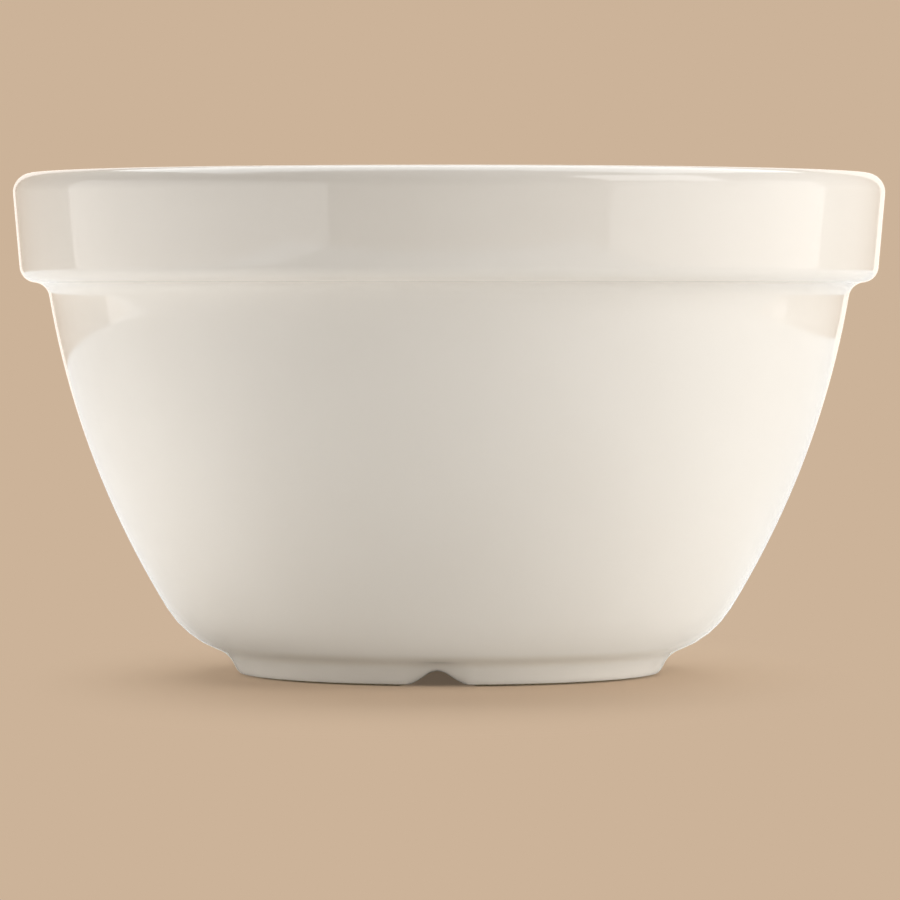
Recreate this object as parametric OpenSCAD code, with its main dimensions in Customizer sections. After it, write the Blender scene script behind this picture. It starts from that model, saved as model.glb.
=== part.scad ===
// Pudding basin: an earthenware bowl with a thick collar to tie a cloth under, dipped in glaze.
// Millimetres, +Z up. The origin is on the table, at the middle of the foot.
// Sizes are those of the glazed basin. The clay under the glaze is smaller by the glaze's thickness.

/* [Rim and collar] */
// Width across the rim at its widest line
rim_d = 160; // [140:0.5:190]
// Height of the basin from the table to the rim
basin_h = 92; // [75:0.5:120]
// Height of the collar from the rim to its underside
collar_h = 20; // [14:0.5:30]
// Lean of the collar's face from upright, in towards its lower edge, in degrees
collar_lean = 5; // [0:0.5:10]
// How far the rim stands out beyond the neck under the collar
collar_out = 6.2; // [4:0.1:10]
// Radius on the outer edge of the rim
rim_edge_r = 3.5; // [2:0.1:5]
// Radius on the inner edge of the rim
lip_edge_r = 3.5; // [2:0.1:4.5]
// Radius on the lower edge of the collar
collar_edge_r = 3; // [2:0.1:5]
// Radius of the cove between the collar and the wall
neck_cove_r = 3; // [1.5:0.1:5]

/* [Wall] */
// Thickness of the wall
wall_t = 5.5; // [4:0.1:9]
// Radius of the wall's long curve from neck to heel
wall_r = 160; // [110:1:400]
// Outside radius of the heel, where the wall turns in to the foot
heel_r = 18; // [12:0.5:26]
// Rise of the heel where it meets the foot's cove, in degrees above level
heel_rise = 20; // [8:1:35]
// Inside radius between the wall and the floor
floor_fillet_r = 22; // [10:0.5:30]

/* [Floor and foot] */
// Thickness of the floor
floor_t = 6; // [4:0.1:10]
// Outside diameter of the ring that bears on the table
foot_d = 73; // [60:0.5:90]
// Width of the bearing ring
foot_ring_w = 4; // [2:0.1:8]
// Depth of the hollow inside the bearing ring
hollow_h = 3.2; // [3:0.1:5]
// Radius of the cove around the hollow
hollow_cove_r = 2; // [1:0.1:4]
// Radius of the clay on the outer edge of the bearing ring
foot_edge_r = 2.8; // [1:0.1:3.5]
// Radius of the clay on the inner edge of the bearing ring
ring_edge_r = 1.6; // [0.8:0.1:2.5]
// Lean of the foot's side from upright, in degrees
foot_lean = 22; // [5:1:35]
// Radius of the cove between the foot and the heel
foot_cove_r = 5.5; // [3:0.1:8]

/* [Drain notches] */
// Number of notches pressed across the foot, which drain it when the basin stands upside down
notch_count = 3; // [2:1:6]
// Width of a notch at the table
notch_w = 11.5; // [9:0.1:13]
// Height of a notch
notch_h = 2.7; // [2.1:0.1:3]
// Radius of a notch's crown
notch_crown_r = 3.2; // [2.5:0.1:4.5]
// Angle between the table and a notch's flared edge, in degrees
notch_splay = 20; // [10:1:25]

/* [Glaze] */
// Thickness of the glaze
glaze_t = 0.4; // [0.2:0.05:0.8]
// Height of the bare band at the foot that is wiped clean of glaze
bare_h = 0.4; // [0.3:0.1:1.5]

/* [Hidden] */
// Widest gap allowed between a curve and the chords that draw it
curve_gap = 0.01;
// How far a cutting shape runs past the face that it cuts
overrun = 1;
// Facets round a full turn
turn_facets = 180;

// Unit vector at an angle
function dir(a) = [cos(a), sin(a)];

// Angle of a vector
function bearing(v) = atan2(v.y, v.x);

// Points along an arc, close enough together to keep the chords within curve_gap
function arc(c, r, a0, a1) =
    let (step = 2 * acos(1 - curve_gap / r))
    let (n = ceil(abs(a1 - a0) / step))
    [for (i = [0 : n]) c + r * dir(a0 + (a1 - a0) * i / n)];

// Point at distance r1 from c1 and r2 from c2, on the left of the way from c1 to c2
function meet(c1, r1, c2, r2) =
    let (gap = norm(c2 - c1))
    let (along = (r1 * r1 - r2 * r2 + gap * gap) / (2 * gap))
    let (aside = sqrt(r1 * r1 - along * along))
    let (e = (c2 - c1) / gap)
    c1 + along * e + aside * [-e.y, e.x];

// Point at height z and distance r from c, on the side away from the axis
function out_at(c, r, z) = [c.x + sqrt(r * r - pow(z - c.y, 2)), z];

// Centres of the arcs in the half section: x is the distance from the axis, y the height
rim_c = [rim_d / 2 - rim_edge_r, basin_h - rim_edge_r];
collar_z = basin_h - collar_h;
collar_edge_z = collar_z + collar_edge_r;
collar_drop = rim_c.y - collar_edge_z;
collar_c = [
    rim_c.x + (rim_edge_r - collar_edge_r) / cos(collar_lean) - collar_drop * tan(collar_lean),
    collar_edge_z
];

// The foot's edge touches the table as bare clay, and the glaze lies round it at the same centre
foot_glazed_r = foot_edge_r + glaze_t;
foot_c = [foot_d / 2, foot_edge_r];
foot_cove_c = foot_c + (foot_glazed_r + foot_cove_r) * dir(-foot_lean);
heel_c = foot_cove_c + (foot_cove_r + heel_r) * dir(90 + heel_rise);

// The wall's arc starts at the neck under the collar and runs smoothly into the heel
neck = [rim_d / 2 - collar_out, collar_z];
wall_c = meet(heel_c, wall_r - heel_r, neck, wall_r);
neck_c = meet(collar_c, collar_edge_r + neck_cove_r, wall_c, wall_r + neck_cove_r);

// The inside wall keeps the outside wall's centre
wall_in_r = wall_r - wall_t;
lip_c = out_at(wall_c, wall_in_r + lip_edge_r, basin_h - lip_edge_r);
floor_z = hollow_h + floor_t;
fillet_c = out_at(wall_c, wall_in_r - floor_fillet_r, floor_z + floor_fillet_r);

// The hollow under the floor: an S from its ceiling to the inner edge of the bearing ring
ring_glazed_r = ring_edge_r + glaze_t;
ring_c = [foot_d / 2 - foot_ring_w, ring_edge_r];
hollow_cove_z = hollow_h - hollow_cove_r;
hollow_sweep = ring_glazed_r + hollow_cove_r;
hollow_dip = max(0, ring_edge_r - hollow_cove_z);
hollow_tilt = asin(hollow_dip / hollow_sweep);
hollow_c = [ring_c.x - hollow_sweep * cos(hollow_tilt), hollow_cove_z];

// Directions in which neighbouring arcs touch
heel_end = bearing(heel_c - wall_c);
wall_end = bearing(neck_c - wall_c);
neck_end = bearing(collar_c - neck_c);
lip_end = bearing(lip_c - wall_c);
floor_end = bearing(fillet_c - wall_c);

// Half section of the basin, drawn in from its glazed surface by an inset.
// Outward curves lose the inset from their radius, and hollow curves gain it.
function section(inset) = concat(
    [[0, hollow_h + inset]],
    arc(hollow_c, hollow_cove_r + inset, 90, hollow_tilt),
    arc(ring_c, ring_glazed_r - inset, 180 + hollow_tilt, 270),
    arc(foot_c, foot_glazed_r - inset, 270, 360 - foot_lean),
    arc(foot_cove_c, foot_cove_r + inset, 180 - foot_lean, 90 + heel_rise),
    arc(heel_c, heel_r - inset, heel_rise - 90, heel_end),
    arc(wall_c, wall_r - inset, heel_end, wall_end),
    arc(neck_c, neck_cove_r + inset, wall_end + 180, neck_end),
    arc(collar_c, collar_edge_r - inset, neck_end - 180, -collar_lean),
    arc(rim_c, rim_edge_r - inset, -collar_lean, 90),
    arc(lip_c, lip_edge_r - inset, 90, lip_end + 180),
    arc(wall_c, wall_in_r + inset, lip_end, floor_end),
    arc(fillet_c, floor_fillet_r + inset, floor_end, -90),
    [[0, floor_z - inset]]
);

// A notch's flare is an arc that starts at the table and runs smoothly into the crown
notch_rise = notch_crown_r - notch_h;
notch_flare_r = (pow(notch_w / 2, 2) + notch_h * notch_h - 2 * notch_crown_r * notch_h)
    / (2 * notch_crown_r - notch_w * sin(notch_splay) - 2 * notch_rise * cos(notch_splay));
notch_crown_c = [0, -notch_rise];
notch_flare_c = [notch_w / 2, 0] + notch_flare_r * dir(90 - notch_splay);
notch_turn = bearing(notch_flare_c - notch_crown_c);

// Right half of a notch's outline, from the crown's top to below the table, grown by an amount
function notch_half(grow) =
    let (flare = arc(notch_flare_c, notch_flare_r - grow, 180 + notch_turn, 270 - notch_splay))
    let (end = flare[len(flare) - 1])
    let (below = (end.y + overrun) / tan(notch_splay))
    concat(arc(notch_crown_c, notch_crown_r + grow, 90, notch_turn), flare, [end + [below, -end.y - overrun]]);

// Outline of a notch, its right half and the same half mirrored
module notch_section(grow) {
    half = notch_half(grow);
    polygon(concat(half, [for (i = [len(half) - 1 : -1 : 1]) [-half[i].x, half[i].y]]));
}

// All notches, the first at the front, each from inside the hollow to clear of the foot
module notches(grow) {
    start = hollow_c.x - overrun;
    for (i = [0 : notch_count - 1])
        rotate([0, 0, 360 * i / notch_count - 90])
            translate([start, 0, 0])
                rotate([90, 0, 90])
                    linear_extrude(foot_cove_c.x - start)
                        notch_section(grow);
}

// Fired clay, with the notches cut wider for the glaze that lines them
module biscuit_body() {
    color("#d8c6a4")
        difference() {
            rotate_extrude($fn = turn_facets)
                polygon(section(glaze_t));
            notches(glaze_t);
        }
}

// One skin of glaze over everything but the wiped foot ring
module glaze_coat() {
    color("#ece6d9")
        difference() {
            rotate_extrude($fn = turn_facets)
                intersection() {
                    polygon(section(0));
                    translate([0, bare_h])
                        square([rim_d, basin_h]);
                }
            notches(0);
            biscuit_body();
        }
}

biscuit_body();
glaze_coat();
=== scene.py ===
# %% [markdown]
# # A glazed pudding basin
# A pudding basin is a thick bowl of cream earthenware. Its rim is a tall collar, and the cloth over the
# pudding is tied with string in the groove under that collar. It stands on a low foot with drain notches.
# This lesson draws the basin's half section with a pen, spins it on an axis as a potter's wheel does,
# presses the notches, pours the glaze over it and sets it under soft studio light.

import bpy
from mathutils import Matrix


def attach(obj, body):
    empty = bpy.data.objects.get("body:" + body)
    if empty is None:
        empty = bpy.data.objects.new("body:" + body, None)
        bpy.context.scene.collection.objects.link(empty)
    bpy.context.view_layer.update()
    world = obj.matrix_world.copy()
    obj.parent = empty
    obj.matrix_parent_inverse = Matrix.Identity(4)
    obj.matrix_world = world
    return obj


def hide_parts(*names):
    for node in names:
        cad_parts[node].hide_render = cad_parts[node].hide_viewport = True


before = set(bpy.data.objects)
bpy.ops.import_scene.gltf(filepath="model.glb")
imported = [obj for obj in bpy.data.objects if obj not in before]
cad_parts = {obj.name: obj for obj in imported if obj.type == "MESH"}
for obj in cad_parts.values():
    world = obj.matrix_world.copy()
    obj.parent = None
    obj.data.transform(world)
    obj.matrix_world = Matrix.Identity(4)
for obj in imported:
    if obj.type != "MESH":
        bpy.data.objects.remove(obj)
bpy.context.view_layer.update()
print("solids:", sorted(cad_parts))

# %% Blender's own modules
from math import acos, asin, atan2, cos, degrees, hypot, pi, radians, sin, sqrt, tan

import bmesh
import bpy
from mathutils import Vector

MM = 0.001
print("one unit in this file is a metre, so one millimetre is", MM)

# %% [markdown]
# ## The section
# Every turned pot is one half section. This one is a chain of arcs that touch without a corner: foot,
# crease, heel, wall, groove, collar, rim, inside wall and floor. It could be a curve object with handles
# set by eye. Here each arc has a centre and a radius that follow from a few sizes, so the chain stays
# smooth at any size. Sizes are in millimetres, x is the distance from the axis and y the height.

# %% Sizes of the rim and the collar
rim_d = 160.0
basin_h = 92.0
collar_h = 20.0
collar_lean = 5.0
collar_out = 6.2
rim_edge_r = 3.5
lip_edge_r = 3.5
collar_edge_r = 3.0
neck_cove_r = 3.0
print("the collar is", collar_h, "mm tall on a rim of", rim_d, "mm")

# %% Sizes of the wall, the floor and the foot
wall_t = 5.5
wall_r = 160.0
heel_r = 18.0
heel_rise = 20.0
floor_fillet_r = 22.0
floor_t = 6.0
foot_d = 73.0
foot_ring_w = 4.0
hollow_h = 3.2
hollow_cove_r = 2.0
foot_edge_r = 2.8
ring_edge_r = 1.6
foot_lean = 22.0
foot_cove_r = 5.5
print("the foot ring is", foot_ring_w, "mm wide and", hollow_h, "mm deep")

# %% Sizes of the glaze
glaze_t = 0.4
bare_h = 0.4
print("the glaze is", glaze_t, "mm thick and stops", bare_h, "mm above the table")


# %% Finding the centres
def towards(angle):
    """A step of one millimetre in a direction, in degrees from the level."""
    return Vector((cos(radians(angle)), sin(radians(angle))))


def bearing(step):
    """The direction of a step, in degrees from the level."""
    return degrees(atan2(step.y, step.x))


def meet(c1, r1, c2, r2):
    """Where two circles cross, on the left of the way from the first centre to the second."""
    way = c2 - c1
    turn = acos((r1 ** 2 + way.length ** 2 - r2 ** 2) / (2 * r1 * way.length))
    return c1 + towards(bearing(way) + degrees(turn)) * r1


def out_at(centre, radius, height):
    """The point of a circle that lies at a height, on its outer side."""
    return Vector((centre.x + sqrt(radius ** 2 - (height - centre.y) ** 2), height))


print("a step along the heel's end:", [round(v, 3) for v in towards(heel_rise)])

# %% Centres of the rim, the collar and the wall
rim_c = Vector((rim_d / 2 - rim_edge_r, basin_h - rim_edge_r))
collar_edge_z = basin_h - collar_h + collar_edge_r
collar_reach = (rim_edge_r - collar_edge_r) / cos(radians(collar_lean))
collar_fall = (rim_c.y - collar_edge_z) * tan(radians(collar_lean))
collar_c = Vector((rim_c.x + collar_reach - collar_fall, collar_edge_z))
foot_c = Vector((foot_d / 2, foot_edge_r))
foot_cove_c = foot_c + towards(-foot_lean) * (foot_edge_r + glaze_t + foot_cove_r)
heel_c = foot_cove_c + towards(90 + heel_rise) * (foot_cove_r + heel_r)
neck = Vector((rim_d / 2 - collar_out, basin_h - collar_h))
crease_z = foot_cove_c.y + foot_cove_r * sin(radians(90 + heel_rise))
wall_c = meet(heel_c, wall_r - heel_r, neck, wall_r)
neck_c = meet(collar_c, collar_edge_r + neck_cove_r, wall_c, wall_r + neck_cove_r)
print("the wall swings about", [round(v, 2) for v in wall_c])

# %% Centres of the inside and the foot ring
wall_in_r = wall_r - wall_t
lip_c = out_at(wall_c, wall_in_r + lip_edge_r, basin_h - lip_edge_r)
floor_z = hollow_h + floor_t
fillet_c = out_at(wall_c, wall_in_r - floor_fillet_r, floor_z + floor_fillet_r)
ring_c = Vector((foot_d / 2 - foot_ring_w, ring_edge_r))
hollow_reach = ring_edge_r + glaze_t + hollow_cove_r
hollow_tilt = degrees(asin((ring_edge_r - hollow_h + hollow_cove_r) / hollow_reach))
hollow_c = Vector((ring_c.x - hollow_reach * cos(radians(hollow_tilt)), hollow_h - hollow_cove_r))
print("the flat of the floor is", round(2 * fillet_c.x, 1), "mm across")


# %% The chain of arcs
def section_arcs(inset):
    """Each arc of a section inset under the glaze's face: centre, radius, first and last angle."""
    heel_end = bearing(heel_c - wall_c)
    wall_end = bearing(neck_c - wall_c)
    neck_end = bearing(collar_c - neck_c)
    lip_end = bearing(lip_c - wall_c)
    floor_end = bearing(fillet_c - wall_c)
    return [
        (hollow_c, hollow_cove_r + inset, 90, hollow_tilt),
        (ring_c, ring_edge_r + glaze_t - inset, 180 + hollow_tilt, 270),
        (foot_c, foot_edge_r + glaze_t - inset, 270, 360 - foot_lean),
        (foot_cove_c, foot_cove_r + inset, 180 - foot_lean, 90 + heel_rise),
        (heel_c, heel_r - inset, heel_rise - 90, heel_end),
        (wall_c, wall_r - inset, heel_end, wall_end),
        (neck_c, neck_cove_r + inset, wall_end + 180, neck_end),
        (collar_c, collar_edge_r - inset, neck_end - 180, -collar_lean),
        (rim_c, rim_edge_r - inset, -collar_lean, 90),
        (lip_c, lip_edge_r - inset, 90, lip_end + 180),
        (wall_c, wall_in_r + inset, lip_end, floor_end),
        (fillet_c, floor_fillet_r + inset, floor_end, -90),
    ]


print("arcs in the section:", len(section_arcs(0)))


# %% [markdown]
# ## The pen
# In Blender a single vertex can be the point of a pen. Extruding it rules a straight line, and spinning it
# about an arc's centre draws that arc, so no list of points is worked out by hand. The pen starts on the
# axis under the foot, goes round the outside, over the rim and down the inside, and ends on the axis.

# %% Drawing with one vertex
line_step = 4.5
arc_step = 3.0
arc_step_degrees = 9.0
same_point = 0.01


def rule_line(bm, pen, end):
    """Rule a line from the pen to an end, in short steps, and return the pen there."""
    way = Vector((end.x * MM, 0, end.y * MM)) - pen.co
    steps = max(1, round(way.length / (line_step * MM)))
    for _ in range(steps):
        pen = bmesh.ops.extrude_vert_indiv(bm, verts=[pen])["verts"][0]
        bmesh.ops.translate(bm, verts=[pen], vec=way / steps)
    return pen


def swing_pen(bm, pen, centre, radius, sweep):
    """Swing the pen about a centre and return it at the end of the arc."""
    length = radius * radians(abs(sweep))
    steps = max(2, round(abs(sweep) / arc_step_degrees), round(length / arc_step))
    hub = (centre.x * MM, 0, centre.y * MM)
    swung = bmesh.ops.spin(
        bm, geom=[pen], cent=hub, axis=(0, -1, 0), angle=radians(sweep), steps=steps, use_duplicate=False
    )
    return [part for part in swung["geom_last"] if isinstance(part, bmesh.types.BMVert)][0]


def draw_section(bm, inset):
    """Draw the half section that lies inset under the glaze's face."""
    pen = bm.verts.new((0, 0, (hollow_h + inset) * MM))
    for centre, radius, start, end in section_arcs(inset):
        first = centre + towards(start) * radius
        if hypot(first.x * MM - pen.co.x, first.y * MM - pen.co.z) > same_point * MM:
            pen = rule_line(bm, pen, first)
        pen = swing_pen(bm, pen, centre, radius, end - start)
    rule_line(bm, pen, Vector((0, floor_z - inset)))


print("the pen steps about", arc_step, "mm on a long arc and", line_step, "mm on a line")

# %% [markdown]
# ## The wheel and the notches
# Spin turns the section a full circle, as the wheel does, and use_merge closes the seam. The drain notches
# are pressed into the soft foot with a rounded bar: points under the bar rise, and the points above them
# crowd together. Cutting the notches with a boolean would leave sharp edges, and the real edges are soft.

# %% Turning the section
turn_steps = 300
weld_gap = 0.002


def turn_on_wheel(bm):
    """Spin the drawn section into a closed pot with its faces outwards."""
    bmesh.ops.spin(
        bm, geom=bm.verts[:] + bm.edges[:], cent=(0, 0, 0), axis=(0, 0, 1), angle=2 * pi, steps=turn_steps,
        use_merge=True, use_duplicate=False
    )
    bmesh.ops.remove_doubles(bm, verts=bm.verts[:], dist=weld_gap * MM)
    bmesh.ops.recalc_face_normals(bm, faces=bm.faces[:])
    for face in bm.faces:
        face.smooth = True


print("one step of the wheel is", round(pi * rim_d / turn_steps, 2), "mm at the rim")

# %% The pressing bar
notch_count = 3
notch_w = 11.5
notch_h = 2.7
notch_crown_r = 3.2
notch_splay = 20.0
splay = radians(notch_splay)
notch_sunk = notch_crown_r - notch_h
notch_room = 2 * notch_crown_r - notch_w * sin(splay) - 2 * notch_sunk * cos(splay)
notch_flare_r = ((notch_w / 2) ** 2 + notch_h ** 2 - 2 * notch_crown_r * notch_h) / notch_room
notch_crown_c = Vector((0, -notch_sunk))
notch_flare_c = Vector((notch_w / 2, 0)) + towards(90 - notch_splay) * notch_flare_r
print("the notch's shoulders have a radius of", round(notch_flare_r, 2), "mm")


def notch_height(across, grow):
    """How high the bar lifts the clay at a distance from its middle: a crown between two shoulders."""
    across = abs(across)
    shoulder = notch_flare_r - grow
    turn = bearing(notch_flare_c - notch_crown_c)
    end = notch_flare_c + towards(270 - notch_splay) * shoulder
    if across < (notch_crown_r + grow) * cos(radians(turn)):
        return sqrt((notch_crown_r + grow) ** 2 - across ** 2) + notch_crown_c.y
    if across < end.x:
        return notch_flare_c.y - sqrt(shoulder ** 2 - (across - notch_flare_c.x) ** 2)
    return max(0, end.y - (across - end.x) * tan(splay))


print("lift at 0, 2 and 4 mm from the middle:", [round(notch_height(a, 0), 2) for a in (0, 2, 4)])


# %% Pressing the notches
def press_notches(bm, inset):
    """Lift the foot's clay over each bar, and crowd it under the hollow inside and the crease outside."""
    ring_middle = (foot_d - foot_ring_w) / 2
    lowest = inset - glaze_t
    for number in range(notch_count):
        middle = radians(number * 360 / notch_count - 90)
        for vert in bm.verts:
            radius = hypot(vert.co.x, vert.co.y) / MM
            ahead = (vert.co.x * cos(middle) + vert.co.y * sin(middle)) / MM
            across = (vert.co.y * cos(middle) - vert.co.x * sin(middle)) / MM
            top = crease_z + inset if radius > ring_middle else hollow_h + inset
            if ahead > 0 and radius < foot_cove_c.x and vert.co.z / MM < top:
                height = notch_height(across, inset)
                lift = height - lowest * min(1, height / bare_h)
                vert.co.z += lift * MM * (top - vert.co.z / MM) / (top - lowest)


print("the crease is", round(crease_z, 2), "mm above the table and the hollow", hollow_h, "mm")

# %% [markdown]
# ## The body and the glaze
# The clay body is turned and fired first. Then the basin is dipped in glaze, and the foot is wiped so that
# it doesn't stick in the kiln. The body here is the section drawn one glaze thickness inside. The glaze is
# the outer section with the wiped part cut away, made a skin by solidify, so both are real layers that
# touch.

# %% From mesh to piece
def finish_piece(bm, name, node):
    """Turn a bmesh into a piece that stands for a solid and moves with the part."""
    mesh = bpy.data.meshes.new(name)
    bm.to_mesh(mesh)
    bm.free()
    piece = bpy.data.objects.new(name, mesh)
    bpy.context.scene.collection.objects.link(piece)
    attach(piece, "root")
    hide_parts(node)
    return piece


# %% The biscuit body
bm = bmesh.new()
draw_section(bm, glaze_t)
print("points in the section:", len(bm.verts))
turn_on_wheel(bm)
press_notches(bm, glaze_t)
print("body, mm3:", round(bm.calc_volume() / MM ** 3))
biscuit = finish_piece(bm, "turned_biscuit", "biscuit_body")

# %% The glaze skin
cut_gap = 0.001
skin_t = 0.95 * glaze_t
bm = bmesh.new()
draw_section(bm, 0)
turn_on_wheel(bm)
press_notches(bm, 0)
bmesh.ops.bisect_plane(
    bm, geom=bm.verts[:] + bm.edges[:] + bm.faces[:], dist=cut_gap * MM, plane_co=(0, 0, bare_h * MM),
    plane_no=(0, 0, 1), clear_inner=True
)
skin_faces = len(bm.faces)
bmesh.ops.solidify(bm, geom=bm.faces[:], thickness=skin_t * MM)
print("skin faces:", skin_faces, "of", len(bm.faces), "glaze, mm3:", round(bm.calc_volume() / MM ** 3))
glaze = finish_piece(bm, "poured_glaze", "glaze_coat")
print("triangles:", sum(len(p.vertices) - 2 for p in glaze.data.polygons))


# %% [markdown]
# ## Materials
# The colours are sRGB hex values, as a paint chart gives them, and one function turns them to the linear
# light that shaders use. One more function adds a node, sets it and links it. Where inputs share a name
# they go by number: 6 and 7 are the two colours of a Mix, and 1 to 4 the limits of a Map Range.

# %% Two helpers for materials
def linear(hex_colour):
    """Turn an sRGB hex value into linear light."""
    channels = [int(hex_colour[i:i + 2], 16) / 255 for i in (1, 3, 5)]
    return [c / 12.92 if c <= 0.04045 else ((c + 0.055) / 1.055) ** 2.4 for c in channels] + [1.0]


def add_node(tree, kind, settings, links):
    """Add a node, set its properties and inputs by name or number, and link its inputs to outputs."""
    node = tree.nodes.new(kind)
    for name, value in settings.items():
        if isinstance(name, int) or name in node.inputs:
            node.inputs[name].default_value = value
        else:
            setattr(node, name, value)
    for name, output in links.items():
        tree.links.new(output, node.inputs[name])
    return node


print("half grey in linear light:", [round(c, 3) for c in linear("#808080")])

# %% [markdown]
# ### Cream earthenware glaze, dipped and fired glossy
# The glaze is a thin glass over pale clay. The eye sees clean soft-edged reflections over a warm cream that
# is never quite even: it clouds where the dip ran thicker, the crease above the foot gets painted shade, a
# darker and warmer band where the glaze also pools, and a few specks of iron show. The surface is very
# slightly wavy, so the edges of a reflection wander.
# It could be a clear coat over a matt base, but one glossy shader mirrors the same with fewer settings.
# IOR 1.5 is that of common glass.

# %% Clouds in the glaze
cloud_size = 28.0
thin_cream = linear("#ece5db")
thick_cream = linear("#f0eae1")
glaze_mat = bpy.data.materials.new("dipped_cream_earthenware_glaze")
glaze_mat.use_nodes = True
tree = glaze_mat.node_tree
tree.nodes.clear()
place = add_node(tree, "ShaderNodeTexCoord", {}, {}).outputs["Object"]
cloud = add_node(
    tree, "ShaderNodeTexNoise", {"Scale": 1 / (cloud_size * MM), "Detail": 3.0}, {"Vector": place}
)
clouded = add_node(
    tree, "ShaderNodeMix", {"data_type": "RGBA", 6: thin_cream, 7: thick_cream}, {0: cloud.outputs["Fac"]}
)
print("the clouds are about", cloud_size, "mm across")

# %% Painted shade in the crease
# Painted shade: a darker, warmer band round the crease stands for glaze pooled there and for the shade and
# warm table bounce that fall there.
crease_shade_core = 0.2
crease_shade_reach = 1.6
crease_shade_share = 0.4
crease_shade_tan = linear("#d5c6b0")
height = add_node(tree, "ShaderNodeSeparateXYZ", {}, {0: place}).outputs["Z"]
off_crease = add_node(tree, "ShaderNodeMath", {"operation": "SUBTRACT", 1: crease_z * MM}, {0: height})
from_crease = add_node(tree, "ShaderNodeMath", {"operation": "ABSOLUTE"}, {0: off_crease.outputs[0]})
crease_shade = add_node(
    tree, "ShaderNodeMapRange",
    {"interpolation_type": "SMOOTHSTEP", 1: crease_shade_core * MM, 2: crease_shade_reach * MM, 3: crease_shade_share, 4: 0.0},
    {0: from_crease.outputs[0]}
)
crease_shaded = add_node(
    tree, "ShaderNodeMix", {"data_type": "RGBA", 7: crease_shade_tan}, {0: crease_shade.outputs[0], 6: clouded.outputs[2]}
)
print("the glaze pools at a height of", round(crease_z, 2), "mm")

# %% A few specks of iron
speck_gap = 9.0
speck_r = 0.27
speck_core_r = 0.108
speck_share = 0.14
iron_brown = linear("#a8967c")
speck = add_node(tree, "ShaderNodeTexVoronoi", {"Scale": 1 / (speck_gap * MM)}, {"Vector": place})
near = add_node(
    tree, "ShaderNodeMapRange", {1: speck_core_r / speck_gap, 2: speck_r / speck_gap, 3: 1.0, 4: 0.0},
    {0: speck.outputs["Distance"]}
)
few = add_node(
    tree, "ShaderNodeMath", {"operation": "GREATER_THAN", 1: 1 - speck_share}, {0: speck.outputs["Color"]}
)
specked = add_node(
    tree, "ShaderNodeMath", {"operation": "MULTIPLY"}, {0: near.outputs[0], 1: few.outputs[0]}
)
coloured = add_node(
    tree, "ShaderNodeMix", {"data_type": "RGBA", 7: iron_brown},
    {0: specked.outputs[0], 6: crease_shaded.outputs[2]}
)
print("a speck is", 2 * speck_r, "mm across")

# %% The glassy surface
ripple_size = 14.0
ripple_depth = 0.02
cloud_low = 0.3
cloud_high = 0.7
rough_low = 0.05
rough_high = 0.08
ripple = add_node(
    tree, "ShaderNodeTexNoise", {"Scale": 1 / (ripple_size * MM), "Detail": 1.0}, {"Vector": place}
)
waved = add_node(
    tree, "ShaderNodeBump", {"Strength": 1.0, "Distance": ripple_depth * MM},
    {"Height": ripple.outputs["Fac"]}
)
gloss = add_node(
    tree, "ShaderNodeMapRange", {1: cloud_low, 2: cloud_high, 3: rough_low, 4: rough_high},
    {0: cloud.outputs["Fac"]}
)
shader = add_node(
    tree, "ShaderNodeBsdfPrincipled", {"IOR": 1.5},
    {"Base Color": coloured.outputs[2], "Roughness": gloss.outputs[0], "Normal": waved.outputs["Normal"]}
)
add_node(tree, "ShaderNodeOutputMaterial", {}, {"Surface": shader.outputs[0]})
glaze.data.materials.append(glaze_mat)
print("glaze nodes:", len(tree.nodes))

# %% [markdown]
# ### Biscuit earthenware, bare and fired
# Under the wiped foot the clay shows. It is buff, quite matt, and has a fine grain that takes a little dirt
# from the table. One flat buff would do from afar, but two that the grain mixes look like clay close up.
# The grain is drawn at half a millimetre, coarser than the real one, so that it shows.

# %% The biscuit material
grain_size = 0.5
grain_depth = 0.05
grain_dark = linear("#c9b78f")
grain_light = linear("#e2d4b4")
biscuit_mat = bpy.data.materials.new("bare_biscuit_earthenware")
biscuit_mat.use_nodes = True
tree = biscuit_mat.node_tree
tree.nodes.clear()
place = add_node(tree, "ShaderNodeTexCoord", {}, {}).outputs["Object"]
grain = add_node(
    tree, "ShaderNodeTexNoise", {"Scale": 1 / (grain_size * MM), "Detail": 4.0}, {"Vector": place}
)
clay = add_node(
    tree, "ShaderNodeMix", {"data_type": "RGBA", 6: grain_dark, 7: grain_light}, {0: grain.outputs["Fac"]}
)
rough = add_node(
    tree, "ShaderNodeBump", {"Strength": 0.6, "Distance": grain_depth * MM},
    {"Height": grain.outputs["Fac"]}
)
shader = add_node(
    tree, "ShaderNodeBsdfPrincipled", {"Roughness": 0.85, "IOR": 1.45},
    {"Base Color": clay.outputs[2], "Normal": rough.outputs["Normal"]}
)
add_node(tree, "ShaderNodeOutputMaterial", {}, {"Surface": shader.outputs[0]})
biscuit.data.materials.append(biscuit_mat)
print("biscuit nodes:", len(tree.nodes))

# %% [markdown]
# ## The camera
# The camera stands a little over a metre away with its eye below the rim, so the mouth is seen edge on.
# A long lens and a small downward tilt give that view. A shift would do the same, but it would spoil
# other views.

# %% Placing the camera
photo_px = 900
focal_px = 5976.0
sensor_mm = 36.0
eye_distance = 1.100
eye_height = 0.06963
eye_azimuth = radians(3.2)
horizon_px = 295.4
axis_px = 449.1

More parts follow.
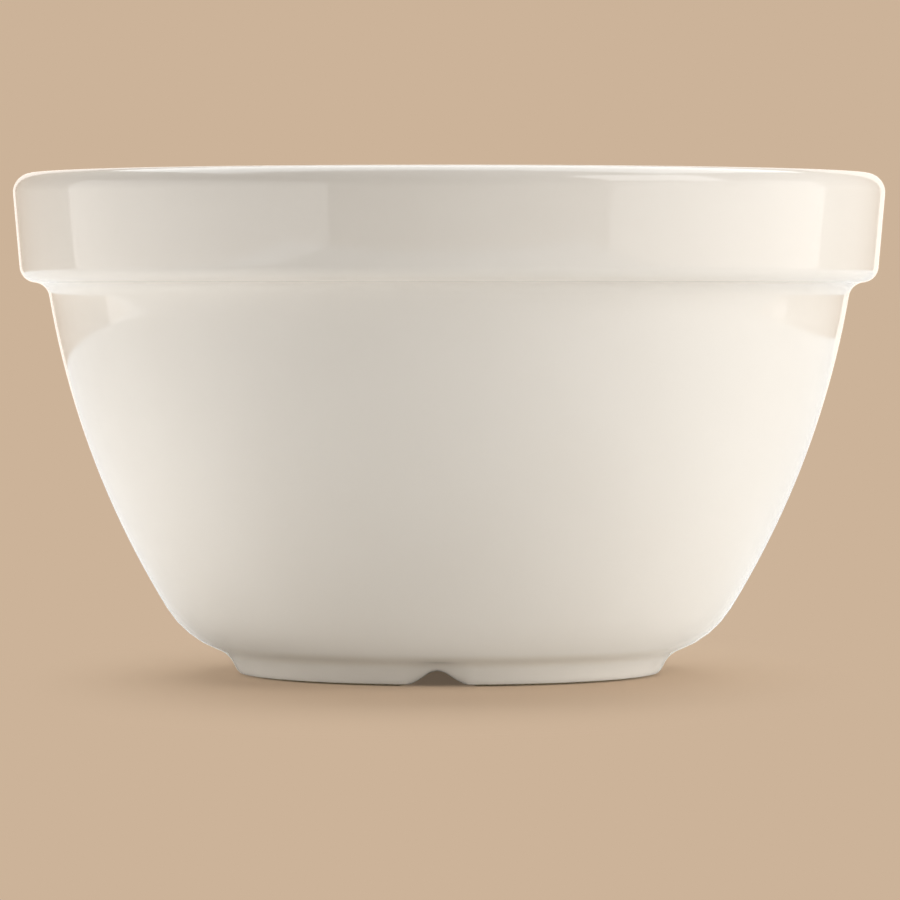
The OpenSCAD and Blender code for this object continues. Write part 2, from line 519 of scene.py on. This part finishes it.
lens_data = bpy.data.cameras.new("studio_camera")
lens_data.sensor_width = sensor_mm
lens_data.lens = sensor_mm * focal_px / photo_px
camera = bpy.data.objects.new("studio_camera", lens_data)
bpy.context.scene.collection.objects.link(camera)
camera.location = (eye_distance * sin(eye_azimuth), -eye_distance * cos(eye_azimuth), eye_height)
tilt = atan2(photo_px / 2 - horizon_px, focal_px)
swing = atan2(photo_px / 2 - axis_px, focal_px)
camera.rotation_euler = (pi / 2 - tilt, 0, eye_azimuth - swing)
bpy.context.scene.camera = camera
print("lens, mm:", round(lens_data.lens, 1), "tilt, degrees:", round(degrees(tilt), 2))

# %% [markdown]
# ## The table and the backdrop
# The basin stands on a board in front of a plain tan backdrop. Close to the basin the board is real paper
# and takes its shadow, which a painted glow of the backdrop's tan lightens. Less of that glow is kept under
# the foot, which leaves painted shade there. Further out the camera sees the backdrop's own tan, so no edge
# shows from any side.
# The glaze mirrors the board as well, and mirrors see it pale, because a dark board would give the basin a
# dark belly.

# %% The board
sweep_tan = linear("#ccb399")
board_width = 0.675
board_depth = 1.26
board_middle = (-0.0075, 0.17, 0.0)
bm = bmesh.new()
bmesh.ops.create_grid(bm, x_segments=1, y_segments=1, size=0.5)
bmesh.ops.scale(bm, verts=bm.verts[:], vec=(board_width, board_depth, 1.0))
bmesh.ops.translate(bm, verts=bm.verts[:], vec=board_middle)
mesh = bpy.data.meshes.new("tan_sweep")
bm.to_mesh(mesh)
bm.free()
sweep = bpy.data.objects.new("tan_sweep", mesh)
bpy.context.scene.collection.objects.link(sweep)
print("the board is", round(board_width / MM), "by", round(board_depth / MM), "mm")

# %% Where the board takes the shadow, lightened by a painted glow
shadow_stretch = (1.0, 0.5, 1.0)
shadow_from = 0.03
shadow_to = 0.08
# Painted light: this share of the backdrop's tan glow stays in the shadow and lightens it.
shadow_glow_share = 0.32
sweep_mat = bpy.data.materials.new("matt_tan_paper")
sweep_mat.use_nodes = True
tree = sweep_mat.node_tree
tree.nodes.clear()
place = add_node(tree, "ShaderNodeTexCoord", {}, {}).outputs["Object"]
stretched = add_node(
    tree, "ShaderNodeVectorMath", {"operation": "MULTIPLY", 1: shadow_stretch}, {0: place}
)
reach = add_node(tree, "ShaderNodeVectorMath", {"operation": "LENGTH"}, {0: stretched.outputs["Vector"]})
shadow_ends = add_node(
    tree, "ShaderNodeMapRange",
    {"interpolation_type": "SMOOTHSTEP", 1: shadow_from, 2: shadow_to, 3: shadow_glow_share, 4: 1.0},
    {0: reach.outputs["Value"]}
)
print("the shadow fades out", round(shadow_to / MM), "mm to each side of the axis")

# %% Where painted shade darkens the board under the foot, and where it is pale in mirrors
foot_from = 0.016
foot_to = 0.020
# Painted shade: under the foot only this part of that glow is kept, so the board is darker there.
foot_glow_share = 0.6
mirror_from = 0.06
mirror_to = 0.18
foot_painted_shade = add_node(
    tree, "ShaderNodeMapRange", {1: foot_from, 2: foot_to, 3: foot_glow_share, 4: 1.0},
    {0: reach.outputs["Value"]}
)
glow_begins = add_node(
    tree, "ShaderNodeMapRange",
    {"interpolation_type": "SMOOTHSTEP", 1: mirror_from, 2: mirror_to, 3: 0.0, 4: 1.0},
    {0: reach.outputs["Value"]}
)
print("mirrors see the board pale from", round(mirror_from / MM), "mm on")

# %% The board's paper
board_pale = linear("#fdfcfa")
rays = add_node(tree, "ShaderNodeLightPath", {}, {})
mirrored = add_node(
    tree, "ShaderNodeMath", {"operation": "MAXIMUM"},
    {0: rays.outputs["Is Glossy Ray"], 1: rays.outputs["Is Transmission Ray"]}
)
in_mirror = add_node(
    tree, "ShaderNodeMath", {"operation": "MULTIPLY"}, {0: glow_begins.outputs[0], 1: mirrored.outputs[0]}
)
# The camera sees the glow share: painted light in the shadow, painted shade under the foot, plain tan
# further out.
seen_plain = add_node(
    tree, "ShaderNodeMath", {"operation": "MULTIPLY"}, {0: shadow_ends.outputs[0], 1: foot_painted_shade.outputs[0]}
)
plain = add_node(
    tree, "ShaderNodeMath", {"operation": "MULTIPLY_ADD"},
    {0: seen_plain.outputs[0], 1: rays.outputs["Is Camera Ray"], 2: in_mirror.outputs[0]}
)
tint = add_node(
    tree, "ShaderNodeMix", {"data_type": "RGBA", 6: board_pale, 7: sweep_tan},
    {0: rays.outputs["Is Camera Ray"]}
)
paper = add_node(tree, "ShaderNodeBsdfDiffuse", {}, {"Color": tint.outputs[2]})
glow = add_node(tree, "ShaderNodeEmission", {"Strength": 1.0}, {"Color": tint.outputs[2]})
both = add_node(
    tree, "ShaderNodeMixShader", {}, {0: plain.outputs[0], 1: paper.outputs[0], 2: glow.outputs[0]}
)
add_node(tree, "ShaderNodeOutputMaterial", {}, {"Surface": both.outputs[0]})
sweep.data.materials.append(sweep_mat)
print("paper nodes:", len(tree.nodes))

# %% The world
fill_warm = linear("#ffe4c0")
fill_level = 0.06
world = bpy.data.worlds.new("studio")
bpy.context.scene.world = world
world.use_nodes = True
tree = world.node_tree
tree.nodes.clear()
rays = add_node(tree, "ShaderNodeLightPath", {}, {})
seen = add_node(
    tree, "ShaderNodeMath", {"operation": "MAXIMUM"},
    {0: rays.outputs["Is Camera Ray"], 1: rays.outputs["Is Glossy Ray"]}
)
seen = add_node(
    tree, "ShaderNodeMath", {"operation": "MAXIMUM"},
    {0: seen.outputs[0], 1: rays.outputs["Is Transmission Ray"]}
)
fill = add_node(tree, "ShaderNodeBackground", {"Color": fill_warm, "Strength": fill_level}, {})
backdrop = add_node(tree, "ShaderNodeBackground", {"Color": sweep_tan, "Strength": 1.0}, {})
both = add_node(
    tree, "ShaderNodeMixShader", {}, {0: seen.outputs[0], 1: fill.outputs[0], 2: backdrop.outputs[0]}
)
add_node(tree, "ShaderNodeOutputWorld", {}, {"Surface": both.outputs[0]})
print("world nodes:", len(tree.nodes))

# %% [markdown]
# ## The light
# The world alone could light the basin, but the glaze is a mirror and would then have nothing to show. So
# softboxes are placed by what the basin mirrors. A low panel on each side makes the upright bright fields
# on the collar, a broad box overhead draws the white line along the rim, and a dim flat behind gives the
# wall its light edges. A high box on the right models the form, a low box on each side lights the foot,
# and a card on the table at the left lifts the heel. The low boxes and the card stay out of mirrors, so
# that they leave no hard shapes on the wall.

# %% Hanging a softbox
white_watts = 4.0


def hang_softbox(name, place, aim, width, height, brightness, hex_colour="#ffffff", in_mirrors=True):
    """Hang a soft rectangular lamp that faces a point and keeps its brightness at any size."""
    lamp = bpy.data.lights.new(name, "AREA")
    lamp.shape = "RECTANGLE"
    lamp.size = width
    lamp.size_y = height
    lamp.energy = brightness * white_watts * width * height
    lamp.color = linear(hex_colour)[:3]
    box = bpy.data.objects.new(name, lamp)
    bpy.context.scene.collection.objects.link(box)
    box.location = place
    box.rotation_euler = (Vector(place) - Vector(aim)).to_track_quat("Z", "Y").to_euler()
    box.visible_camera = False
    box.visible_glossy = in_mirrors


print("a softbox as bright as white takes", white_watts, "watts for each square metre")

# %% The softboxes that mirrors show
hang_softbox(
    "left_panel", place=(-0.277, -0.186, 0.112), aim=(0.70, 0.029, 0.112),
    width=0.545, height=0.22, brightness=0.80
)
hang_softbox(
    "right_panel", place=(0.330, -0.129, 0.112), aim=(0.0, -0.129, 0.112),
    width=0.468, height=0.22, brightness=0.80
)
hang_softbox(
    "right_high", place=(0.60, -0.30, 0.60), aim=(0.0, 0.0, 0.05), width=0.50, height=0.40, brightness=2.4
)
hang_softbox(
    "overhead", place=(0.0, 0.35, 0.66), aim=(0.0, 0.35, 0.0),
    width=0.85, height=0.80, brightness=1.86, hex_colour="#f4faff"
)
hang_softbox(
    "rear_flat", place=(-0.01, 0.78, 0.25), aim=(-0.01, 0.0, 0.25), width=0.68, height=0.50, brightness=0.5
)
print("softboxes in mirrors:", len(bpy.data.lights))

# %% The softboxes that only fill
hang_softbox(
    "left_card", place=(-0.105, 0.01, 0.003), aim=(-0.105, 0.01, 1.0),
    width=0.09, height=0.22, brightness=0.36, in_mirrors=False
)
hang_softbox(
    "right_low", place=(0.75, -0.40, 0.23), aim=(0.0, 0.0, 0.04),
    width=0.40, height=0.25, brightness=3.9, in_mirrors=False
)
hang_softbox(
    "left_low", place=(-0.75, -0.40, 0.23), aim=(0.0, 0.0, 0.04),
    width=0.40, height=0.25, brightness=1.3, in_mirrors=False
)
print("softboxes:", len(bpy.data.lights))

# %% [markdown]
# ## The last look
# The Standard view shows each colour about as it was written, where others would bend it.

# %% Last settings
bpy.context.scene.view_settings.view_transform = "Standard"
